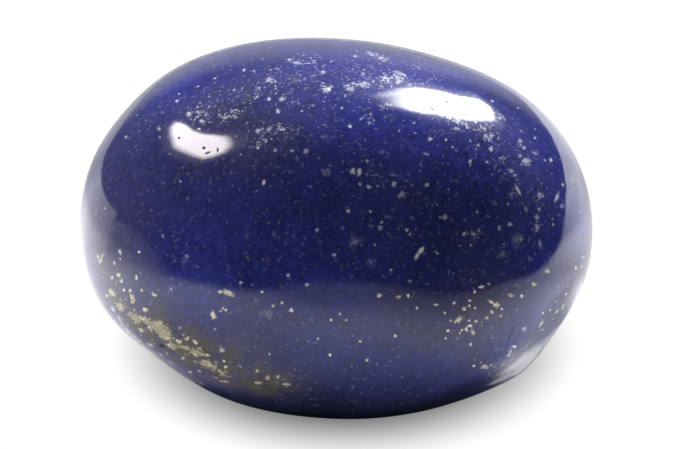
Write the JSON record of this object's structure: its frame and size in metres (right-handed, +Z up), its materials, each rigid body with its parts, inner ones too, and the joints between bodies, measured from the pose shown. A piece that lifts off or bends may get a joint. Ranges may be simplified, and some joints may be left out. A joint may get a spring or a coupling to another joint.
{
  "type": "tumbled lapis lazuli stone",
  "caption": "Polished tumbled pebble of deep blue lapis lazuli with pale calcite flecks and brassy pyrite grains, resting on a small flat.",
  "frame": {"origin": "on the small flat that the pebble rests on, below the middle of its bounding box", "axes": "+X along the pebble's long way, -Y towards its front with the pyrite vein at the lower left, +Z up from the flat it rests on"},
  "size_m": [0.0302, 0.025, 0.0214],
  "materials": {
    "lapis": "high polish over deep blue, with pale calcite flecks and clouds and brassy pyrite grains that are colour and fine grain only"
  },
  "bodies": {
    "root": {"stone": "lapis"}
  },
  "joints": []
}
